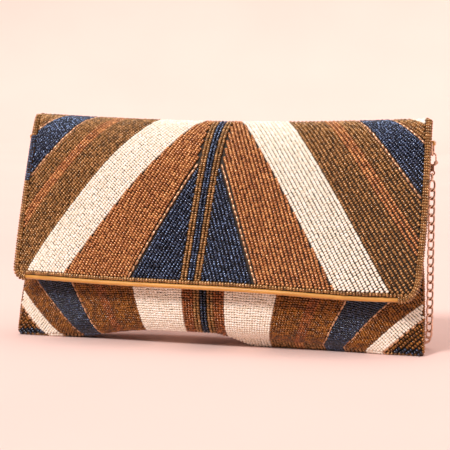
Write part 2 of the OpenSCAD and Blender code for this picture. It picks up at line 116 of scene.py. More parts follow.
FRONT_LOW = ((FOLD_Y - SEAM_FRONT, SEAM_ARCH), (FOLD_Y - 36, SEAM_ARCH + 1),
             (FOLD_Y - FRONT_OUT - 0.5, 26), (FOLD_Y - FRONT_OUT, FRONT_OUT_Z))
FRONT_HIGH = ((FOLD_Y - FRONT_OUT, FRONT_OUT_Z), (FOLD_Y - 38, 64),
              (FOLD_Y - 25, 104), (FOLD_Y - 8.5, MOUTH_Z))
BACK_MID = ((FOLD_Y - SEAM_FRONT, SEAM_ARCH), (FOLD_Y + 24, -45),
            (FOLD_Y + 15, 90), (FOLD_Y + BACK_IN_TOP, FOLD_Z))
LOW_SHARE = 0.3


def front_mid(v):
    """The front panel's middle profile, from the bottom seam at 0 to the mouth at 1."""
    low = bez(FRONT_LOW, v / LOW_SHARE)
    high = bez(FRONT_HIGH, (v - LOW_SHARE) / (1 - LOW_SHARE))
    return [np.where(v < LOW_SHARE, a, b) for a, b in zip(low, high)]


def panel_point(u, mid, end_z):
    """A point of a panel's inside from its middle profile and its height at the side seams."""
    z = mix(end_z, mid[1], arch(u))
    return np.stack([u * half_w(np.maximum(z, 0)), mix(seam_y(end_z), mid[0], swell(u)), z], -1)


def front_inside(u, v):
    return panel_point(u, front_mid(v), (MOUTH_Z + 1) * v)


def back_inside(u, v):
    return panel_point(u, bez(BACK_MID, v), FOLD_Z * v**1.8)


def flap_half(side, t):
    """The flap's half width: its lower corners are rounded, the right one more."""
    radius = np.where(np.asarray(side) > 0, RIGHT_CORNER_R, LEFT_CORNER_R)
    near = np.clip(radius - (1 - t) * FLAP_LENGTH, 0, radius)
    return mix(FLAP_HALF_TOP, FLAP_HALF_EDGE, t) - radius + np.sqrt(radius**2 - near**2)


def flap_outside(u, t):
    """A point of the flap's outer face; t runs from the fold to the free edge."""
    start = (FOLD_Y + FOLD_R * math.cos(FOLD_TURN), FOLD_Z + FOLD_R * math.sin(FOLD_TURN))
    leave, arrive = mix(7, 22, arch(u)), mix(55, 50, arch(u))
    slope = np.radians(mix(14.5, 19, arch(u)))
    end = (FOLD_Y - FLAP_EDGE_OUT - FLAP_BULGE * arch(u), FLAP_EDGE_Z)
    first = (start[0] - leave * math.sin(FOLD_TURN), start[1] + leave * math.cos(FOLD_TURN))
    second = (end[0] + arrive * np.sin(slope), end[1] + arrive * np.cos(slope))
    y, z = bez((start, first, second, end), t)
    return np.stack([u * flap_half(u, t), y + 0 * u, z + 0 * u], -1)


def profile_normal(p0, p1, side):
    """The outward direction, square to the profile from p0 to p1."""
    d = p1 - p0
    d = d / np.hypot(d[..., 1], d[..., 2])[..., None]
    return np.stack([0 * d[..., 0], -side * d[..., 2], side * d[..., 1]], -1)


def ripple(x, s):
    """Soft unevenness of embroidered cloth, in mm along its normal."""
    return 0.45 * np.sin(x / 27 + 1.3) * np.sin(s / 19 + 0.4) + 0.3 * np.sin(x / 13 - s / 21)


def sag(x):
    """How far the middle of the fold hangs below its ends."""
    return CREST_SAG * np.maximum(0, arch(x / FLAP_HALF_TOP))


def lift(x):
    """How far the underside is lifted: it rests on its right half and its left end."""
    return UNDERSIDE_LIFT * smooth((x + 112) / 75) * smooth((28 - x) / 28)


def rested(p, n, off):
    """The points of p moved out by off along n, but not below where the underside rests."""
    q = p + n * off[..., None]
    low = np.abs(n[..., 2]) * (PANEL_T - off)
    q[..., 2] = np.maximum(q[..., 2], lift(q[..., 0]) + low)
    return q


def slumped(q):
    """The upper left and the lower right corner of the soft bag stand a little further in."""
    x, z = q[..., 0], q[..., 2]
    upper_left = UPPER_LEFT_IN * smooth((-x - 60) / 72) * smooth((z - 50) / 90)
    lower_right = LOWER_RIGHT_IN * smooth((x - 60) / 72) * smooth((100 - z) / 90)
    q[..., 0] = x + upper_left - lower_right
    return q


def front_at(u, v, off):
    u, v, off = np.broadcast_arrays(*(np.asarray(a, float) for a in (u, v, off)))
    n = profile_normal(front_inside(u, np.maximum(0, v - STEP)),
                       front_inside(u, np.minimum(1, v + STEP)), 1)
    p = front_inside(u, v)
    live = smooth(v / 0.2) * smooth((1 - v) / 0.1) * smooth((1 - np.abs(u)) / 0.1)
    return slumped(rested(p, n, off + ripple(p[..., 0], 150 * v) * live))


def back_at(u, v, off):
    u, v, off = np.broadcast_arrays(*(np.asarray(a, float) for a in (u, v, off)))
    n = profile_normal(back_inside(u, np.maximum(0, v - STEP)),
                       back_inside(u, np.minimum(1, v + STEP)), -1)
    p = back_inside(u, v)
    live = smooth((v - 0.3) / 0.2) * smooth((1 - v) / 0.1) * smooth((1 - np.abs(u)) / 0.1)
    q = rested(p, n, off + ripple(p[..., 0] + 60, 160 * v) * live)
    q[..., 2] -= sag(p[..., 0]) * smooth((v - 0.55) / 0.45)
    return slumped(q)


def flap_at(u, t, off):
    """off is how far outside the flap's outer face; t may pass 1, beyond the free edge."""
    u, t, off = np.broadcast_arrays(*(np.asarray(a, float) for a in (u, t, off)))
    held = np.clip(t, 0, 1)
    p = flap_outside(u, held)
    ahead = flap_outside(u, np.minimum(1, held + STEP))
    n = profile_normal(ahead, flap_outside(u, np.maximum(0, held - STEP)), 1)
    live = smooth(t / 0.2) * smooth((1 - np.abs(u)) / 0.15)
    q = p + n * (off + ripple(p[..., 0] - 40, 120 * t) * live)[..., None]
    q[..., 2] -= sag(p[..., 0]) * (1 - smooth(t / 0.6))
    q[..., 2] -= RIGHT_DROP * smooth(np.maximum(0, u)) * smooth(t) * smooth(t)
    return slumped(q)


def fold_at(x, turn, r):
    """A point of the fold at a turn from the back panel over the crest, in radians."""
    x, turn, r = np.broadcast_arrays(*(np.asarray(a, float) for a in (x, turn, r)))
    return slumped(np.stack([x, FOLD_Y + r * np.cos(turn), FOLD_Z + r * np.sin(turn) - sag(x)], -1))


# ---------------------------------------------------------------- flat layouts of the four surfaces
# x runs across the bag, s along the surface from its start, both in mm


def arc_table(curve):
    """The length along a surface's middle profile, and the places that it is given for."""
    v = np.linspace(0, 1, 600)
    p = curve(np.zeros_like(v), v)
    step = np.linalg.norm(np.diff(p, axis=0), axis=1)
    return np.concatenate([[0], np.cumsum(step)]), v


FRONT_S, FRONT_V = arc_table(front_inside)
BACK_S, BACK_V = arc_table(back_inside)
FLAP_S, FLAP_V = arc_table(flap_outside)
FRONT_L, BACK_L, FLAP_L = FRONT_S[-1], BACK_S[-1], FLAP_S[-1]
FOLD_L = FOLD_R * FOLD_TURN


def across_of(x, v, inside):
    """The u of a place on a panel whose x is known."""
    u = x / (BAG_W / 2)
    for _ in range(4):
        u = x / (inside(u, v)[..., 0] / np.where(np.abs(u) < 1e-6, 1, u) + 1e-9)
        u = np.where(np.abs(x) < 1e-6, 0, np.clip(u, -1, 1))
    return u


def front_flat(x, s, off):
    v = np.interp(s, FRONT_S, FRONT_V)
    return front_at(across_of(x, v, front_inside), v, off)


def back_flat(x, s, off):
    """s runs down from the fold's back edge."""
    v = np.interp(BACK_L - s, BACK_S, BACK_V)
    return back_at(across_of(x, v, back_inside), v, off)


def fold_flat(x, s, off):
    """s runs from the back edge over the crest to the flap."""
    return fold_at(x, s / FOLD_R, FOLD_R - PANEL_T + off)


def flap_flat(x, s, off):
    t = np.interp(s, FLAP_S, FLAP_V)
    return flap_at(x / flap_half(x, t), t, off - PANEL_T)


def front_edge(x, s):
    """The half width of a surface at a place, on that place's side."""
    v = np.interp(s, FRONT_S, FRONT_V)
    return front_inside(np.ones_like(v), v)[..., 0]


def back_edge(x, s):
    v = np.interp(BACK_L - s, BACK_S, BACK_V)
    return back_inside(np.ones_like(v), v)[..., 0]


def fold_edge(x, s):
    return FLAP_HALF_TOP + 0 * s


def flap_edge(x, s):
    return flap_half(x, np.interp(s, FLAP_S, FLAP_V))


# ---------------------------------------------------------------- materials


def srgb(code):
    """A linear colour from its usual six hex digits."""
    parts = [int(code[k : k + 2], 16) / 255 for k in (0, 2, 4)]
    return [c / 12.92 if c <= 0.04045 else ((c + 0.055) / 1.055) ** 2.4 for c in parts] + [1]


def surface(name, shades, scale, rough, metallic=0.0, coat=0.0, bump=0.0, bump_scale=None, ior=1.5):
    """A Principled material: noise runs its colour through shades and its roughness over rough."""
    m = bpy.data.materials.new(name)
    m.use_nodes = True
    tree = m.node_tree
    p = tree.nodes["Principled BSDF"]
    p.inputs["Metallic"].default_value = metallic
    p.inputs["IOR"].default_value = ior
    p.inputs["Coat Weight"].default_value = coat
    p.inputs["Coat Roughness"].default_value = 0.12
    where = tree.nodes.new("ShaderNodeTexCoord")
    noise = tree.nodes.new("ShaderNodeTexNoise")
    noise.inputs["Scale"].default_value = scale
    noise.inputs["Detail"].default_value = 2.0
    tree.links.new(where.outputs["Object"], noise.inputs["Vector"])
    ramp = tree.nodes.new("ShaderNodeValToRGB")
    stops = ramp.color_ramp.elements
    spots = np.linspace(0.36, 0.64, len(shades))
    while len(stops) < len(shades):
        stops.new(0.5)
    for stop, spot, shade in zip(stops, spots, shades):
        stop.position = float(spot)
        stop.color = srgb(shade)
    tree.links.new(noise.outputs["Fac"], ramp.inputs["Fac"])
    tree.links.new(ramp.outputs["Color"], p.inputs["Base Color"])
    spread = tree.nodes.new("ShaderNodeMapRange")
    spread.inputs["From Min"].default_value = 0.3
    spread.inputs["From Max"].default_value = 0.7
    spread.inputs["To Min"].default_value = rough[0]
    spread.inputs["To Max"].default_value = rough[1]
    tree.links.new(noise.outputs["Fac"], spread.inputs["Value"])
    tree.links.new(spread.outputs["Result"], p.inputs["Roughness"])
    if bump:
        grain = tree.nodes.new("ShaderNodeTexNoise")
        grain.inputs["Scale"].default_value = bump_scale or scale
        tree.links.new(where.outputs["Object"], grain.inputs["Vector"])
        lift = tree.nodes.new("ShaderNodeBump")
        lift.inputs["Strength"].default_value = bump
        lift.inputs["Distance"].default_value = 0.0003
        tree.links.new(grain.outputs["Fac"], lift.inputs["Height"])
        tree.links.new(lift.outputs["Normal"], p.inputs["Normal"])
    return m


SLUB_SCALE = 520
SLUB_STRETCH = 0.08


def woven(name, shades, threads, rough, sheen, bump):
    """Cloth: long slubs in the shades of surface(), over two crossed sets of fine threads."""
    m = surface(name, shades, SLUB_SCALE, rough)
    tree = m.node_tree
    p = tree.nodes["Principled BSDF"]
    p.inputs["Sheen Weight"].default_value = sheen
    p.inputs["Sheen Roughness"].default_value = 0.35
    where = tree.nodes["Texture Coordinate"]
    along = tree.nodes.new("ShaderNodeMapping")
    along.inputs["Scale"].default_value = (SLUB_STRETCH, 1, 1)
    tree.links.new(where.outputs["Object"], along.inputs["Vector"])
    tree.links.new(along.outputs["Vector"], tree.nodes["Noise Texture"].inputs["Vector"])
    heights = []
    for axis in ("X", "Z"):
        wave = tree.nodes.new("ShaderNodeTexWave")
        wave.bands_direction = axis
        wave.inputs["Scale"].default_value = threads
        wave.inputs["Distortion"].default_value = 0.6
        tree.links.new(where.outputs["Object"], wave.inputs["Vector"])
        heights.append(wave.outputs["Fac"])
    both = tree.nodes.new("ShaderNodeMath")
    both.operation = "MULTIPLY"
    tree.links.new(heights[0], both.inputs[0])
    tree.links.new(heights[1], both.inputs[1])
    lift = tree.nodes.new("ShaderNodeBump")
    lift.inputs["Strength"].default_value = bump
    lift.inputs["Distance"].default_value = 0.0002
    tree.links.new(both.outputs["Value"], lift.inputs["Height"])
    tree.links.new(lift.outputs["Normal"], p.inputs["Normal"])
    return m


BEAD_SCALE = 420
BEADS = {
    # Navy: the dark shades are the beads' own navy; the pale blue-grey shade is a painted glint on some
    # beads, picked by noise at about bead size
    "navy": surface("navy_beads_painted_glints", ["060a16", "141e38", "6c7ea0"], 800, (0.14, 0.28), 0.6, 1.0),
    # The front panel's navy: a darker copy of the navy that is painted shade under the flap; its pale
    # shade is a dimmer painted glint
    "ink": surface("ink_beads", ["04070f", "0d1426", "3c4a68"], 800, (0.14, 0.28), 0.5, 0.7),
    "cream": surface("cream_beads", ["f3e4cf", "f8ecdb", "fdf4e8"], BEAD_SCALE, (0.2, 0.34), 0.0, 0.4),
    "bronze": surface("bronze_beads", ["6f4c26", "966834", "b98650"], BEAD_SCALE, (0.18, 0.3), 0.4, 0.6),
    "copper": surface("copper_beads", ["975b30", "bb7944", "d6975c"], BEAD_SCALE, (0.18, 0.3), 0.4, 0.6),
    # Darker copies of the bronze and the copper for the front panel: partly the front's own deeper beads,
    # partly painted shade under the flap
    "umber": surface("umber_beads", ["5e350a", "824c0c", "a06212"], BEAD_SCALE, (0.18, 0.3), 0.3, 0.5),
    "rust": surface("rust_beads", ["66380f", "8a4b1c", "a86028"], BEAD_SCALE, (0.18, 0.3), 0.3, 0.5),
    "rose": surface("rose_beads", ["a8744e", "c08c64", "d4a47c"], BEAD_SCALE, (0.18, 0.3), 0.4, 0.6),
}
BEADS["navy"].node_tree.nodes["Principled BSDF"].inputs["Specular Tint"].default_value = srgb("c4d2ff")
# The backing cloth: its very dark shades are partly the cloth's own brown and partly painted shade between
# the bead rows
GROUND = woven("ground_cloth", ["241a10", "302318", "403022"], 700, (0.7, 0.9), 0.2, 0.4)
SATIN = woven("gold_satin", ["be8236", "c88c3e", "d29646"], 1100, (0.3, 0.42), 0.5, 0.15)
STIFFENER = woven("stiffener", ["d8d2c2", "e8e2d4", "f0ebe0"], 500, (0.8, 0.95), 0.1, 0.5)
METAL = surface("rose_gold", ["e0bca4", "e8c6b0", "f0d2c0"], 60, (0.16, 0.3), 1.0, 0.2,
                bump=0.05, bump_scale=900)
STEEL = surface("spring_steel", ["9a9a9a", "c8c8c8"], 200, (0.25, 0.4), 1.0)

# ---------------------------------------------------------------- meshes


def made(name, points, faces, material):
    """An object from points in mm."""
    mesh = bpy.data.meshes.new(name)
    mesh.from_pydata((np.asarray(points) * MM).tolist(), [], faces)
    mesh.polygons.foreach_set("use_smooth", np.ones(len(mesh.polygons), bool))
    mesh.materials.append(material)
    mesh.update()
    o = bpy.data.objects.new(name, mesh)
    bpy.context.scene.collection.objects.link(o)
    return o


def shell(name, outer, inner, material):
    """A closed shell between two equal grids of points, each rows x columns x 3."""
    rows, cols = outer.shape[:2]
    n = rows * cols
    index = np.arange(n).reshape(rows, cols)
    a, b, c, d = index[:-1, :-1], index[:-1, 1:], index[1:, 1:], index[1:, :-1]
    top = np.stack([a, b, c, d], -1).reshape(-1, 4)
    bottom = top[:, ::-1] + n
    ring = np.concatenate([index[0, :], index[1:, -1], index[-1, -2::-1], index[-2:0:-1, 0]])
    after = np.roll(ring, -1)
    rim = np.stack([ring, ring + n, after + n, after], -1)
    faces = np.concatenate([top, bottom, rim]).tolist()
    o = made(name, np.concatenate([outer.reshape(-1, 3), inner.reshape(-1, 3)]), faces, material)
    flat = len(top) * 2
    for k in range(flat, len(faces)):
        o.data.polygons[k].use_smooth = False
    return o


def carried(path):
    """Tangents and side directions along a path, without twist."""
    t = np.gradient(path, axis=0)
    t /= np.linalg.norm(t, axis=1)[:, None]
    start = np.array([1.0, 0, 0]) if abs(t[0][0]) < 0.8 else np.array([0, 0, 1.0])
    sides = [start - t[0] * (start @ t[0])]
    for k in range(1, len(path)):
        side = sides[-1] - t[k] * (sides[-1] @ t[k])
        sides.append(side / np.linalg.norm(side))
    sides[0] = sides[0] / np.linalg.norm(sides[0])
    return t, np.array(sides)


def tube(name, path, r, material, sides=12, ripple_depth=0.0):
    """A round tube; ripple_depth twists a shallow thread round it."""
    t, a = carried(path)
    b = np.cross(t, a)
    turn = np.linspace(0, 2 * math.pi, sides, endpoint=False)
    along = np.concatenate([[0], np.cumsum(np.linalg.norm(np.diff(path, axis=0), axis=1))])
    radius = r + ripple_depth * np.cos(2 * turn[None, :] - along[:, None] * 2.4)
    ring = a[:, None] * np.cos(turn)[None, :, None] + b[:, None] * np.sin(turn)[None, :, None]
    points = path[:, None] + ring * radius[..., None]
    n = len(path)
    index = np.arange(n * sides).reshape(n, sides)
    p, q = index[:-1], index[1:]
    walls = np.stack([p, np.roll(p, -1, 1), np.roll(q, -1, 1), q], -1).reshape(-1, 4).tolist()
    faces = walls + [index[0][::-1].tolist(), index[-1].tolist()]
    return made(name, points.reshape(-1, 3), faces, material)


# A seed bead along its thread: shares of its length and of its radius
BEAD_PROFILE = ((-0.5, 0.58), (-0.26, 1.0), (0.26, 1.0), (0.5, 0.58))
BEAD_SIDES = 6
# A mesh holds at most this many beads, so that each keeps a cell of a few pixels when it is baked
MOST_BEADS = 4400


def bead_mesh(name, centre, axis, normal, length, radius, material):
    """Beads as one mesh. Each has a cell of its own in the layout that a bake uses."""
    n = len(centre)
    centre = np.stack([centre[:, 0], centre[:, 1], np.maximum(centre[:, 2], radius)], -1)
    side = np.cross(axis, normal)
    side /= np.linalg.norm(side, axis=1)[:, None]
    up = np.cross(side, axis)
    turn = np.linspace(0, 2 * math.pi, BEAD_SIDES, endpoint=False)
    rings = []
    for share, wide in BEAD_PROFILE:
        for a in turn:
            out = up * math.cos(a) + side * math.sin(a)
            rings.append(centre + axis * (share * length)[:, None] + out * (wide * radius)[:, None])
    points = np.stack(rings, 1).reshape(-1, 3) * MM
    per = len(rings)
    loops, starts, sizes, cell = [], [], [], []
    for k in range(len(BEAD_PROFILE) - 1):
        for j in range(BEAD_SIDES):
            m = (j + 1) % BEAD_SIDES
            a, b = k * BEAD_SIDES, (k + 1) * BEAD_SIDES
            starts.append(len(loops))
            sizes.append(4)
            loops += [a + j, b + j, b + m, a + m]
            u0, u1, v0, v1 = j / BEAD_SIDES, (j + 1) / BEAD_SIDES, k / 5, (k + 1) / 5
            cell += [(u0, v0), (u0, v1), (u1, v1), (u1, v0)]
    for k, order in ((0, range(BEAD_SIDES)), (len(BEAD_PROFILE) - 1, range(BEAD_SIDES - 1, -1, -1))):
        starts.append(len(loops))
        sizes.append(BEAD_SIDES)
        for j in order:
            loops.append(k * BEAD_SIDES + j)
            middle = (0.25 if k == 0 else 0.75, 0.8)
            cell.append((middle[0] + 0.15 * math.cos(turn[j]), middle[1] + 0.15 * math.sin(turn[j])))
    step = np.arange(n)[:, None]
    all_loops = (np.array(loops)[None, :] + step * per).ravel()
    all_starts = (np.array(starts)[None, :] + step * len(loops)).ravel()
    mesh = bpy.data.meshes.new(name)
    mesh.vertices.add(len(points))
    mesh.vertices.foreach_set("co", points.ravel())
    mesh.loops.add(len(all_loops))
    mesh.loops.foreach_set("vertex_index", all_loops.astype(np.int32))
    mesh.polygons.add(len(all_starts))
    mesh.polygons.foreach_set("loop_start", all_starts.astype(np.int32))
    mesh.polygons.foreach_set("use_smooth", np.ones(len(all_starts), bool))
    grid = math.ceil(math.sqrt(n))
    corner = np.stack([np.arange(n) % grid, np.arange(n) // grid], -1)[:, None, :]
    uv = (corner + 0.06 + 0.88 * np.array(cell)[None]) / grid
    layer = mesh.uv_layers.new(name="OFBake")
    layer.data.foreach_set("uv", uv.ravel())
    mesh.materials.append(material)
    mesh.update(calc_edges=True)
    mesh.validate()
    o = bpy.data.objects.new(name, mesh)
    bpy.context.scene.collection.objects.link(o)
    return o


# ---------------------------------------------------------------- rows of beads in the flat layouts
ROW = 2.3
PITCH = 1.62
BEAD_R = 1.12
CREAM_R = 1.18
ROSE_R = 0.86
BEAD_L = 1.5
# How far a bead's middle lies outside the inner face of its panel
BEAD_OUT = 1.55
BUGLE_L, BUGLE_PITCH = 3.9, 4.2


def rows_in(polygon, along, first):
    """Lines ((x, s), (x, s)) across a polygon, parallel to along, a row apart from first."""
    poly = np.array(polygon, float)
    d = np.array(along, float)
    d /= np.linalg.norm(d)
    n = np.array([-d[1], d[0]])
    far = poly @ n
    start = np.dot(first, n)
    lines = []
    for k in range(math.floor((far.min() - start) / ROW), math.ceil((far.max() - start) / ROW)):
        level = start + (k + 0.5) * ROW
        cuts = []
        for a, b, fa, fb in zip(poly, np.roll(poly, -1, 0), far, np.roll(far, -1)):
            if (fa - level) * (fb - level) < 0:
                cuts.append((a + (b - a) * (level - fa) / (fb - fa)) @ d)
        cuts.sort()
        for a, b in zip(cuts[::2], cuts[1::2]):
            if b - a > PITCH * 0.7:
                lines.append((a * d + level * n, b * d + level * n))
    return lines


class Rows:
    """Beads laid out flat: places, directions, lengths and colours."""

    def __init__(self):
        self.at, self.along, self.long, self.colour = [], [], [], []

    def line(self, a, b, colour, pitch=PITCH, bead=BEAD_L):
        """Beads threaded from a to b."""
        a, b = np.array(a, float), np.array(b, float)
        span = np.linalg.norm(b - a)
        count = max(1, round(span / pitch))
        share = (np.arange(count) + 0.5) / count
        self.at.append(a + (b - a) * share[:, None])
        self.along.append(np.repeat(((b - a) / span)[None], count, 0))
        self.long.append(np.full(count, bead * min(1.06, span / count / pitch)))
        self.colour += [colour] * count

    def fill(self, polygon, along, first, colour):
        """Rows over a polygon, parallel to along."""
        for a, b in rows_in(polygon, along, first):
            self.line(a, b, colour)

    def band(self, inner, outer, colour, stripe=()):
        """Rows between two lines that share their ends' s; stripe is (colour, from, to) in shares."""
        inner, outer = np.array(inner, float), np.array(outer, float)
        way = inner[1] - inner[0]
        width = np.linalg.norm(outer - inner, axis=1).mean() * way[1] / np.linalg.norm(way)
        count = max(1, round(abs(width) / ROW))
        for k in range(count):
            share = (k + 0.5) / count
            inside = stripe and stripe[1] <= share <= stripe[2]
            a, b = mix(inner, outer, share)
            self.line(a, b, stripe[0] if inside else colour)

    def bugles(self, a, b):
        """A line of long beads."""
        self.line(a, b, "rose", BUGLE_PITCH, BUGLE_L)

    def border(self, s, reach, colour):
        """Beads side by side that lie across the edge at s."""
        count = round(reach / 1.9)
        x = (np.arange(count) + 0.5) * reach / count
        self.at.append(np.stack([x, s + 0 * x], -1))
        self.along.append(np.tile([0.0, 1.0], (count, 1)))
        self.long.append(np.full(count, 2.3))
        self.colour += [colour] * count

    def both_sides(self, skew, half):
        """All of them and their mirror images, then moved by skew(s), less near the edges."""
        at, along = np.concatenate(self.at), np.concatenate(self.along)
        flip = np.array([-1.0, 1.0])
        at, along = np.concatenate([at, at * flip]), np.concatenate([along, along * flip])
        grip = np.where(at[:, 0] > 0, 1, smooth(at[:, 1] / HELD_FROM))
        held = 1 - grip * np.clip(np.abs(at[:, 0]) / half, 0, 1) ** 4
        turn = (skew(at[:, 1] + 1) - skew(at[:, 1])) * held * along[:, 1]
        along = along + np.stack([turn, 0 * turn], -1)
        along /= np.linalg.norm(along, axis=1)[:, None]
        at = at + np.stack([skew(at[:, 1]) * held, 0 * held], -1)
        return at, along, np.tile(np.concatenate(self.long), 2), np.tile(np.array(self.colour), 2)


# Where the bands cross the crest, as distances from the middle
STRIPE = 3 * ROW
CREST_CREAM = (12.2, 43.5)
CREST_NAVY = (90, 109.5)
CREST_PALE = (123, 146)
# The skew leaves the pattern's right edge alone, and its left edge fully only from this s on
HELD_FROM = 110
# How fast the two lines of the flap's cream and navy bands move outwards
CREAM_SLOPES, NAVY_SLOPES = (0.66, 0.67), (0.69, 0.82)
WIDE = 140


def down(x, slope, length):
    """A line from x at s = 0 that moves outwards by slope for each mm of s."""
    return (x, 0.0), (x + slope * length, length)


def stripe_rows(rows, length, deep="navy"):
    """The double dark row down the middle and the bronze rows beside it."""
    rows.line((ROW / 2, 0), (ROW / 2, length), deep)
    for k in (1.5, 2.5):
        rows.line((k * ROW, 0), (k * ROW, length), "bronze")


def flap_pattern(length):
    """One half of the flap's pattern, from the crest at s = 0 to its free edge."""
    rows = Rows()
    border = 2.4
    end = length - border
    stripe_rows(rows, end)
    cream_in, cream_out = (down(x, slope, end) for x, slope in zip(CREST_CREAM, CREAM_SLOPES))
    apex, base = (STRIPE, 42.0), (41.5, end)
    wedge = np.subtract(base, (STRIPE + 1, apex[1]))
    rows.fill([apex, base, (STRIPE, end)], wedge, apex, "navy")
    rows.bugles((STRIPE + 1.2, apex[1] - 1), (base[0] + 1.3, end))
    rows.fill([(STRIPE, 0), cream_in[0], cream_in[1], (base[0] + 2.6, end), (STRIPE + 2.4, apex[1])],
              wedge, (base[0] + 2.6, end), "copper")
    rows.band(cream_in, cream_out, "cream")
    steep, flat = NAVY_SLOPES
    rows.band(cream_out, down(CREST_NAVY[0] - 2, steep, end), "bronze", ("copper", 0.52, 0.7))
    rows.bugles(*down(CREST_NAVY[0] - 0.8, steep, end))
    rows.band(down(CREST_NAVY[0] + 0.4, steep, end), down(CREST_NAVY[1], flat, end), "navy")
    rows.bugles(*down(CREST_NAVY[1] + 1, flat, end))
    rows.band(down(CREST_NAVY[1] + 2.2, flat, end), down(CREST_PALE[0], flat, end), "bronze")
    rows.band(down(CREST_PALE[0], flat, end), down(CREST_PALE[1], flat, end), "cream")
    rows.border(length - border / 2, FLAP_HALF_EDGE, "bronze")
    return rows


def panel_pattern(length, cream, navy, pale, slopes, plain="bronze", warm="copper", deep="navy"):
    """One half of a panel's pattern. cream, navy and pale are each band's two distances from
    the middle at s = 0, and slopes how fast those six lines move outwards."""
    rows = Rows()
    stripe_rows(rows, length, deep)
    lines = [np.array(down(x, slope, length)) for x, slope in zip((*cream, *navy, *pale), slopes)]
    cream_in, cream_out, navy_in, navy_out, pale_in, pale_out = lines
    thread, clear = np.array([1.0, 0]), np.array([2.2, 0])
    corner = pale_out + 26 * clear
    rows.band(down(STRIPE, 0, length), cream_in, warm)
    rows.band(cream_in, cream_out, "cream")
    rows.band(cream_out, navy_in - clear, plain, (warm, 0.48, 0.64))
    rows.bugles(*(navy_in - thread))
    rows.band(navy_in, navy_out, deep)
    rows.bugles(*(navy_out + thread))
    rows.band(navy_out + clear, pale_in, plain)
    rows.band(pale_in, pale_out, "cream")
    rows.bugles(*(pale_out + thread))
    rows.band(pale_out + clear, corner, plain)
    return rows


pieces_of = {}


def sew(body, surface_name, flat, edge, at, along, long, colour):
    """Turns flat beads into meshes, one or more for each colour."""
    x, s = at[:, 0], at[:, 1]
    inside = np.abs(x) <= edge(x, s) - 0.4
    at, along, long, colour = at[inside], along[inside], long[inside], colour[inside]
    n = len(at)
    at = at + rng.normal(0, 0.09, (n, 2))
    angle = rng.normal(0, 0.06, n)
    turned = np.stack([along[:, 0] * np.cos(angle) - along[:, 1] * np.sin(angle),
                       along[:, 0] * np.sin(angle) + along[:, 1] * np.cos(angle)], -1)
    x, s = at[:, 0], at[:, 1]
    centre = flat(x, s, BEAD_OUT + rng.normal(0, 0.06, n))
    reach = 0.5
    ahead = flat(x + turned[:, 0] * reach, s + turned[:, 1] * reach, BEAD_OUT)
    behind = flat(x - turned[:, 0] * reach, s - turned[:, 1] * reach, BEAD_OUT)
    axis = ahead - behind
    axis /= np.linalg.norm(axis, axis=1)[:, None] + 1e-9
    normal = flat(x, s, BEAD_OUT + 1.0) - flat(x, s, BEAD_OUT)
    normal /= np.linalg.norm(normal, axis=1)[:, None] + 1e-9
    length = long * rng.normal(1, 0.05, n)
    wide = np.select([colour == "cream", colour == "rose"], [CREAM_R, ROSE_R], BEAD_R)
    radius = wide * rng.normal(1, 0.03, n)
    for tint in sorted(set(colour.tolist())):
        chosen = np.flatnonzero(colour == tint)
        parts = math.ceil(len(chosen) / MOST_BEADS)
        for k, some in enumerate(np.array_split(chosen, parts)):
            name = f"{surface_name}_{tint}_beads" + (f"_{k + 1}" if parts > 1 else "")
            o = bead_mesh(name, centre[some], axis[some], normal[some], length[some], radius[some],
                          BEADS[tint])
            pieces_of.setdefault(surface_name, []).append(o)
            if body:
                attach(o, body)


# ---------------------------------------------------------------- camera, cord first
CAMERA = {"azimuth": 16.0, "elevation": 5.6, "distance": 1000, "across": 3.9, "height": 78.9,
          "focal": 1526, "roll": 0.3}
FRAME_PIXELS = 450


def make_camera():
    data = bpy.data.cameras.new("camera")
    o = bpy.data.objects.new("camera", data)
    bpy.context.scene.collection.objects.link(o)
    bpy.context.scene.camera = o
    a, e = math.radians(CAMERA["azimuth"]), math.radians(CAMERA["elevation"])
    back = np.array([math.sin(a) * math.cos(e), -math.cos(a) * math.cos(e), math.sin(e)])
    right = np.array([math.cos(a), math.sin(a), 0])
    target = right * CAMERA["across"] + np.array([0, 0, CAMERA["height"]])
    o.location = (target + back * CAMERA["distance"]) * MM
    up = np.cross(back, right)
    roll = math.radians(CAMERA["roll"])
    right, up = (right * math.cos(roll) + up * math.sin(roll),
                 up * math.cos(roll) - right * math.sin(roll))
    o.rotation_mode = "QUATERNION"
    o.rotation_quaternion = mathutils.Matrix(
        [[right[k], up[k], back[k]] for k in range(3)]).to_quaternion()
    data.sensor_width = 36
    data.lens = 36 * CAMERA["focal"] / FRAME_PIXELS
    data.clip_start, data.clip_end = 0.05, 30


make_camera()

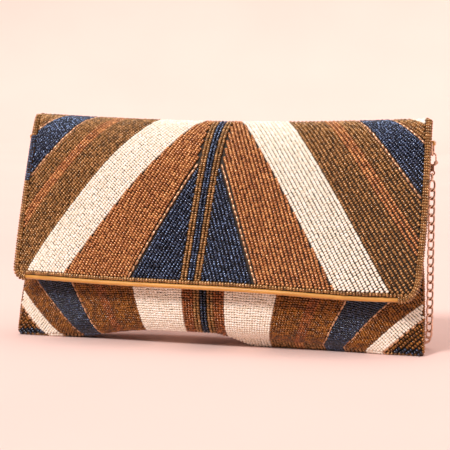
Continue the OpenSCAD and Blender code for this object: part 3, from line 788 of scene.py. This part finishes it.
# The chain's middle line from its right end to its left, as its CAD tube has it
HANG_X, HANG_Y = 137, 15.4
NEAR_RUN, MIDDLE_RUN, FAR_RUN, REST_Z = 43, 69, 95, 2.6
CHAIN_ROUTE = np.array([
    [HANG_X, HANG_Y, 109.7], [HANG_X, HANG_Y, 80], [HANG_X, HANG_Y, 50], [HANG_X, HANG_Y, 30],
    [HANG_X, 16, 19], [136.5, 18.5, 10], [134.5, 23.5, 4.6], [130, 30, 2.7], [122, 36, REST_Z],
    [111, 40, REST_Z], [96, 42, REST_Z], [70, NEAR_RUN, REST_Z], [40, NEAR_RUN, REST_Z],
    [10, NEAR_RUN, REST_Z], [-20, NEAR_RUN, REST_Z], [-50, NEAR_RUN, REST_Z],
    [-76, NEAR_RUN, REST_Z], [-92, NEAR_RUN, REST_Z], [-102, NEAR_RUN, REST_Z],
    [-111, 47, REST_Z], [-115, 56, REST_Z], [-111, 65, REST_Z], [-102, MIDDLE_RUN, REST_Z],
    [-92, MIDDLE_RUN, REST_Z], [-76, MIDDLE_RUN, REST_Z], [-50, MIDDLE_RUN, REST_Z],
    [-20, MIDDLE_RUN, REST_Z], [10, MIDDLE_RUN, REST_Z], [40, MIDDLE_RUN, REST_Z],
    [64, MIDDLE_RUN, REST_Z], [74, MIDDLE_RUN, REST_Z], [83, 73, REST_Z], [87, 82, REST_Z],
    [83, 91, REST_Z], [74, FAR_RUN, REST_Z], [64, FAR_RUN, REST_Z], [40, FAR_RUN, REST_Z],
    [10, FAR_RUN, REST_Z], [-20, FAR_RUN, REST_Z], [-50, FAR_RUN, REST_Z], [-78, 93, REST_Z],
    [-100, 86, REST_Z], [-116, 74, REST_Z], [-126, 60, REST_Z], [-132, 46, REST_Z],
    [-135, 34, 2.8], [-136.5, 25, 5], [-HANG_X, 18.6, 11], [-HANG_X, 16, 20],
    [-HANG_X, HANG_Y, 32], [-HANG_X, HANG_Y, 50], [-HANG_X, HANG_Y, 80],
    [-HANG_X, HANG_Y, 109.7]])
LINK_PITCH = 5.4
LINK_WIRE = 0.68
LINK_HALF_L = (LINK_PITCH + 2 * LINK_WIRE) / 2
LINK_HALF_W = 1.72
LEAD_Z = 60


def along_route(p, steps):
    """A cubic B-spline along the route, through its two ends."""
    p = np.concatenate([[2 * p[0] - p[1]], p, [2 * p[-1] - p[-2]]])
    out = []
    for i in range(len(p) - 3):
        a, b, c, d = p[i : i + 4]
        for s in np.arange(steps) / steps:
            out.append((a * (1 - s) ** 3 + b * (3 * s**3 - 6 * s * s + 4)
                        + c * (-3 * s**3 + 3 * s * s + 3 * s + 1) + d * s**3) / 6)
    out.append((p[-3] * 4 + p[-4] + p[-2]) / 6)
    return np.array(out)


def spaced(path, step):
    """Points at even distances of about step along a path, with both its ends."""
    s = np.concatenate([[0], np.cumsum(np.linalg.norm(np.diff(path, axis=0), axis=1))])
    count = round(s[-1] / step)
    at = np.linspace(0, s[-1], count + 1)
    return np.stack([np.interp(at, s, path[:, k]) for k in range(3)], -1)


def chain_links(name, centres, tangents, sides):
    """Twisted oval links that hook into each other, lying flat across sides."""
    around, section = 20, 6
    a = np.linspace(0, 2 * math.pi, around, endpoint=False)
    c, s = np.cos(a), np.sin(a)
    power = 0.82
    line = np.stack([LINK_HALF_L * np.sign(c) * np.abs(c) ** power,
                     LINK_HALF_W * np.sign(s) * np.abs(s) ** power,
                     0.62 * LINK_WIRE * np.sin(2 * a)], -1)
    t = np.roll(line, -1, 0) - np.roll(line, 1, 0)
    t /= np.linalg.norm(t, axis=1)[:, None]
    up = np.array([0, 0, 1.0])
    n1 = np.cross(t, up)
    n1 /= np.linalg.norm(n1, axis=1)[:, None]
    n2 = np.cross(n1, t)
    ring = []
    for b in np.linspace(0, 2 * math.pi, section, endpoint=False):
        ring.append(line + LINK_WIRE * (math.cos(b) * n1 + 0.86 * math.sin(b) * n2))
    link = np.stack(ring, 1).reshape(-1, 3)
    index = np.arange(around * section).reshape(around, section)
    after = np.roll(index, -1, 0)
    quads = np.stack([index, after, np.roll(after, -1, 1), np.roll(index, -1, 1)], -1).reshape(-1, 4)
    normals = np.cross(tangents, sides)
    points, faces = [], []
    for k in range(len(centres)):
        frame3 = np.stack([tangents[k], sides[k], normals[k]])
        points.append(link @ frame3 + centres[k])
        faces.append(quads + k * len(link))
    o = made(name, np.concatenate(points), np.concatenate(faces).tolist(), METAL)
    return o


def make_chain():
    path = spaced(along_route(CHAIN_ROUTE, 24), LINK_PITCH)
    tangents, sides = carried(path)
    middle = (path[1:] + path[:-1]) / 2
    t = path[1:] - path[:-1]
    t /= np.linalg.norm(t, axis=1)[:, None]
    side = (sides[1:] + sides[:-1]) / 2
    side -= t * (side * t).sum(1)[:, None]
    side /= np.linalg.norm(side, axis=1)[:, None]
    high = middle[:, 2] > LEAD_Z
    right, left = high & (middle[:, 0] > 0), high & (middle[:, 0] < 0)
    main = ~high
    for word, chosen, x in (("right", right, 1), ("left", left, -1)):
        lead = chain_links(f"{word}_chain_lead", middle[chosen], t[chosen], side[chosen])
        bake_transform(lead)
    chain = chain_links("chain", middle[main], t[main], side[main])
    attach(chain, "bag")
    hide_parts("chain_strap")


make_chain()

# ---------------------------------------------------------------- cloth, linings and stiff layers


def grid(at, u_max, v0, v1, off, cols=72, rows=44):
    """A grid of points on a panel at one offset, closer together towards its sides."""
    i = np.sin(np.linspace(-math.pi / 2, math.pi / 2, cols)) * u_max
    j = np.linspace(v0, v1, rows)
    u, v = np.meshgrid(i, j)
    return at(u, v, off)


def layer(name, at, out, inn, u_max, v0, v1, material, body, replaced, slot, flip=False):
    """One layer of a panel between two offsets, from v0 to v1 and out to u_max at both sides."""
    a, b = grid(at, u_max, v0, v1, out), grid(at, u_max, v0, v1, inn)
    if flip:
        a, b = b, a
    o = shell(name, a, b, material)
    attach(o, body)
    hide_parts(replaced)
    return o


LINING_OUT = -2 * LAYER_GAP - STIFF_T
LINING_IN = LINING_OUT - LINING_T
POCKET_OUT = LINING_IN - LAYER_GAP
STIFF_SIDE, FLAP_STIFF_SIDE, POCKET_SIDE = 0.92, 0.98, 0.55
layer("front_ground", front_at, CLOTH_T, 0, 1, 0, 1, GROUND, "bag", "front_cloth", "ground_cloth")
layer("front_buckram", front_at, -LAYER_GAP, -LAYER_GAP - STIFF_T, STIFF_SIDE, 0.1, 0.9, STIFFENER,
      "bag", "front_stiffener", "stiffener")
layer("front_satin", front_at, LINING_OUT, LINING_IN, STIFF_SIDE, 0.1, 1, SATIN, "bag",
      "front_lining", "satin")
layer("back_ground", back_at, CLOTH_T, 0, 1, 0, 1, GROUND, "bag", "back_cloth", "ground_cloth", True)
layer("back_buckram", back_at, -LAYER_GAP, -LAYER_GAP - STIFF_T, STIFF_SIDE, 0.3, 0.9, STIFFENER,
      "bag", "back_stiffener", "stiffener", True)
layer("back_satin", back_at, LINING_OUT, LINING_IN, STIFF_SIDE, 0.1, 1, SATIN, "bag",
      "back_lining", "satin", True)
layer("slip_pocket", back_at, POCKET_OUT, POCKET_OUT - LINING_T, POCKET_SIDE, 0.5, 0.8,
      SATIN, "bag", "inner_pocket", "satin", True)
FLAP_CLOTH_OUT = -BEAD_T - LAYER_GAP
FLAP_STIFF_OUT = -PANEL_T - LAYER_GAP
FLAP_LINING_OUT = FLAP_STIFF_OUT - STIFF_T - LAYER_GAP
FLAP_IN = FLAP_LINING_OUT - LINING_T
layer("flap_ground", flap_at, FLAP_CLOTH_OUT, -PANEL_T, 1, 0, 1, GROUND, "flap", "flap_cloth",
      "ground_cloth", True)
layer("flap_buckram", flap_at, FLAP_STIFF_OUT, FLAP_STIFF_OUT - STIFF_T, FLAP_STIFF_SIDE, 0.05, 0.87,
      STIFFENER, "flap", "flap_stiffener", "stiffener", True)
layer("flap_satin", flap_at, FLAP_LINING_OUT, FLAP_IN, 1, 0, 1, SATIN, "flap", "flap_lining",
      "satin", True)

fold_x = np.linspace(-FLAP_HALF_TOP, FLAP_HALF_TOP, 72)
fold_turns = np.linspace(0, FOLD_TURN, 18)
fold_grid = np.meshgrid(fold_x, fold_turns)


def bent(o):
    """Bakes the place of a piece of the fold into its mesh."""
    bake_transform(o)


cloth_r = FOLD_R - BEAD_T - LAYER_GAP
fold_cloth = shell("fold_ground", fold_at(*fold_grid, cloth_r), fold_at(*fold_grid, cloth_r - CLOTH_T),
                   GROUND)
bent(fold_cloth)
lining_r = FOLD_R - PANEL_T - LAYER_GAP
fold_satin = shell("fold_satin", fold_at(*fold_grid, lining_r), fold_at(*fold_grid, lining_r - LINING_T),
                   SATIN)
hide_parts("fold_lining")
bent(fold_satin)

# ---------------------------------------------------------------- piping
PIPING_R, MOUTH_R = 1.5, 1.3
EDGE_MID = FLAP_IN / 2


def flap_outline(clear):
    """A path round the flap's left end, free edge and right end, clear outside the layers.

    Also gives the direction outwards at each point of it.
    """
    t = 1 - (1 - np.linspace(0.015, 1, 90)) ** 1.7
    edge_u = np.linspace(-1, 1, 141)[1:-1]
    u = np.concatenate([-np.ones_like(t), edge_u, np.ones_like(t)])
    t = np.concatenate([t, np.ones_like(edge_u), t[::-1]])
    p = flap_at(u, t, EDGE_MID)
    n = flap_at(u, t, EDGE_MID + 0.5) - flap_at(u, t, EDGE_MID - 0.5)
    ahead = np.gradient(p, axis=0)
    out = np.cross(ahead, n)
    out /= np.linalg.norm(out, axis=1)[:, None]
    if (out @ np.array([0, 0, -1.0])).mean() < 0:
        out = -out
    return p + clear * out, out


outline, outline_out = flap_outline(PIPING_R + 0.1)
flap_piping = tube("flap_cord_piping", outline, PIPING_R, SATIN, ripple_depth=0.06)
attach(flap_piping, "flap")
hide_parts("flap_piping")
mouth_u = np.sin(np.linspace(-math.pi / 2, math.pi / 2, 120)) * 0.985
mouth_line = front_at(mouth_u, 1, (PANEL_T - STIFF_T - LINING_T) / 2) + [0, 0, MOUTH_R + 0.4]
mouth_piping = tube("mouth_cord_piping", mouth_line, MOUTH_R, SATIN, ripple_depth=0.05)
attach(mouth_piping, "bag")
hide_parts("mouth_piping")

# ---------------------------------------------------------------- beadwork
CREST_S = FOLD_R * math.pi / 2
FLAP_Q = FOLD_L - CREST_S
flap_xy, flap_along, flap_long, flap_colour = flap_pattern(FLAP_L + FLAP_Q).both_sides(
    lambda s: -2 - 0.062 * s, WIDE)
# The outer cream band crosses the crest at the right corner only
upper_left = (flap_xy[:, 0] < -100) & (flap_xy[:, 1] < 40)
flap_colour[upper_left & (flap_colour == "cream")] = "bronze"
on_fold = flap_xy[:, 1] < FLAP_Q
back_length = BACK_L + CREST_S - 0.5
# At the bottom the back's bands meet the front's
BOTTOM = {"cream": (13.5, 40.5), "navy": (77, 89), "pale": (105, 116)}
back_ends = (*CREST_CREAM, *CREST_NAVY, *CREST_PALE)
back_slopes = np.subtract([x for band in BOTTOM.values() for x in band], back_ends) / back_length
back_xy, back_along, back_long, back_colour = panel_pattern(
    back_length, CREST_CREAM, CREST_NAVY, CREST_PALE, back_slopes).both_sides(
    lambda s: -2 - 0.011 * s, WIDE)
back_on_fold = back_xy[:, 1] < CREST_S


def shifted(at, s):
    return np.stack([at[:, 0], s], -1)


sew("flap", "flap", flap_flat, flap_edge, shifted(flap_xy, flap_xy[:, 1] - FLAP_Q)[~on_fold],
    flap_along[~on_fold], flap_long[~on_fold], flap_colour[~on_fold])
sew("bag", "back", back_flat, back_edge, shifted(back_xy, back_xy[:, 1] - CREST_S)[~back_on_fold],
    back_along[~back_on_fold], back_long[~back_on_fold], back_colour[~back_on_fold])
flip_s = np.array([1.0, -1.0])
fold_xy = np.concatenate([shifted(flap_xy, CREST_S + flap_xy[:, 1])[on_fold],
                          shifted(back_xy, CREST_S - back_xy[:, 1])[back_on_fold]])
fold_along = np.concatenate([flap_along[on_fold], back_along[back_on_fold] * flip_s])
fold_long = np.concatenate([flap_long[on_fold], back_long[back_on_fold]])
fold_colour = np.concatenate([flap_colour[on_fold], back_colour[back_on_fold]])
sew(None, "fold", fold_flat, fold_edge, fold_xy, fold_along, fold_long, fold_colour)
for o in pieces_of["fold"]:
    bent(o)
# The front takes the darker copies of the bronze, the copper and the navy: partly deeper beads, partly
# painted shade under the flap; the navy copy is all painted shade
front_xy, front_along, front_long, front_colour = panel_pattern(
    FRONT_L, *BOTTOM.values(), (0.025, 0.225, 0.5, 0.92, 1.08, 1.15), "umber", "rust", "ink").both_sides(
    lambda s: -4 + 0 * s, WIDE)
# The lowest beads of the two bottom corners are navy, here the front's darker navy with painted shade
CORNER_S, CORNER_X = 3.5, 122
front_colour[(front_xy[:, 1] < CORNER_S) & (np.abs(front_xy[:, 0]) > CORNER_X)] = "ink"
sew("bag", "front", front_flat, front_edge, front_xy, front_along, front_long, front_colour)
for name in ("flap", "back", "fold", "front"):
    for o in pieces_of[name]:
        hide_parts(f"{name}_beadwork")


EDGING_L, EDGING_R = 1.5, 0.85


def edging(name, path, outward, r, tint, body, angles):
    """Beads laid across an edge: at each point of the path, one at each angle round it.

    Without a body their place is baked into their mesh.
    """
    t, _ = carried(path)
    out = outward - t * (outward * t).sum(1)[:, None]
    out /= np.linalg.norm(out, axis=1)[:, None]
    other = np.cross(t, out)
    centre, axis, normal = [], [], []
    for angle in np.radians(angles):
        n = out * math.cos(angle) + other * math.sin(angle)
        centre.append(path + n * r)
        axis.append(-out * math.sin(angle) + other * math.cos(angle))
        normal.append(n)
    centre, axis, normal = (np.concatenate(a) for a in (centre, axis, normal))
    count = len(centre)
    o = bead_mesh(name, centre, axis, normal, EDGING_L * rng.normal(1, 0.05, count),
                  EDGING_R * rng.normal(1, 0.05, count), BEADS[tint])
    if body:
        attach(o, body)
    else:
        bent(o)


def resampled(path, values, step):
    """A path and the vectors along it at even steps."""
    s = np.concatenate([[0], np.cumsum(np.linalg.norm(np.diff(path, axis=0), axis=1))])
    at = np.linspace(0, s[-1], round(s[-1] / step) + 1)
    return [np.stack([np.interp(at, s, a[:, k]) for k in range(3)], -1) for a in (path, values)]


# Along the flap's two ends, and round its corners, the beads cover the piping
ROUND_PIPING = np.arange(-120, 121, 40)
turn_at = 90
EDGING_STEP = 1.75
NAVY_EDGING = (16, 48)
for word, some in (("left", slice(0, turn_at + 1)), ("right", slice(-turn_at - 1, None))):
    line, outward = resampled(outline[some], outline_out[some], EDGING_STEP)
    # On the left the navy band runs on round the piping
    cuts = [0, *(round(at / EDGING_STEP) for at in NAVY_EDGING), len(line)]
    tints = ("bronze", "navy", "bronze") if word == "left" else ("bronze",) * 3
    for k, tint in enumerate(tints):
        part = slice(cuts[k], cuts[k + 1])
        edging(f"flap_{word}_edging_{k + 1}", line[part], outward[part], PIPING_R + 0.35, tint,
               "flap", ROUND_PIPING)
# Down the bag's side seams, and round the fold's two open ends
seam_v = np.linspace(0.02, 0.97, 84)
for word, x in (("left", -1), ("right", 1)):
    line = (front_at(x, seam_v, PANEL_T) + front_at(x, seam_v, 0)) / 2
    outward = np.repeat([[float(x), 0, 0]], len(line), 0)
    # The seams take the front's darker bronze: partly deeper beads, partly painted shade
    edging(f"{word}_seam_edging", line, outward, 0.5, "umber", "bag", (-70, 0, 70))
    line = fold_at(x * FLAP_HALF_TOP, np.linspace(0, FOLD_TURN, 11), FOLD_R - PANEL_T / 2)
    outward = np.repeat([[float(x), 0, 0]], len(line), 0)
    edging(f"fold_{word}_edging", line, outward, 0.8, "bronze", None, (-60, 0, 60))

# ---------------------------------------------------------------- CAD pieces that keep their shape
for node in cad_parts:
    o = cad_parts[node]
    if "spring" in node:
        material = STEEL
    elif "tab" in node:
        material = SATIN
    else:
        material = METAL
    for slot in o.material_slots:
        slot.material = material

# ---------------------------------------------------------------- the setting: a pale bowl and soft lights


def make_setting():
    """A round floor that bends up into a wall, the world's light and two lamps."""
    floor_r, bend_r, wall_z = 2600, 900, 2600
    profile = [(0, 0), (400, 0), (1200, 0), (floor_r, 0)]
    for a in np.linspace(0, math.pi / 2, 10)[1:]:
        profile.append((floor_r + bend_r * math.sin(a), bend_r * (1 - math.cos(a))))
    profile.append((floor_r + bend_r, wall_z))
    around = 96
    turn = np.linspace(0, 2 * math.pi, around, endpoint=False)
    # The wall stands behind the bag and sinks to the floor in front of it
    wall = smooth(0.5 + 1.5 * np.sin(turn))
    points = []
    for r, z in profile[1:]:
        points += [[r * math.cos(a), r * math.sin(a), z * high] for a, high in zip(turn, wall)]
    points.append([0, 0, 0])
    centre = len(points) - 1
    faces = [[centre, k, (k + 1) % around] for k in range(around)]
    for j in range(len(profile) - 2):
        for k in range(around):
            m = (k + 1) % around
            faces.append([j * around + k, (j + 1) * around + k, (j + 1) * around + m, j * around + m])
    o = made("backdrop", points, faces, surface("paper", ["ecc9bf", "efccc2"], 3, (0.9, 0.95)))
    world = bpy.data.worlds.new("world")
    bpy.context.scene.world = world
    bpy.context.scene.view_settings.view_transform = "Standard"
    world.use_nodes = True
    sky = world.node_tree.nodes["Background"]
    sky.inputs["Color"].default_value = srgb("fff4ec")
    sky.inputs["Strength"].default_value = 0.32

    def sun(name, place, spread, strength):
        data = bpy.data.lights.new(name, "SUN")
        data.angle = math.radians(spread)
        data.energy = strength
        lamp = bpy.data.objects.new(name, data)
        bpy.context.scene.collection.objects.link(lamp)
        lamp.location = mathutils.Vector(place)
        lamp.rotation_mode = "QUATERNION"
        lamp.rotation_quaternion = (-lamp.location).to_track_quat("-Z", "Y")

    sun("key", (-1.0, -2.4, 2.4), 12, 2.4)
    sun("overhead", (0.2, -0.1, 1.6), 75, 1.6)


make_setting()
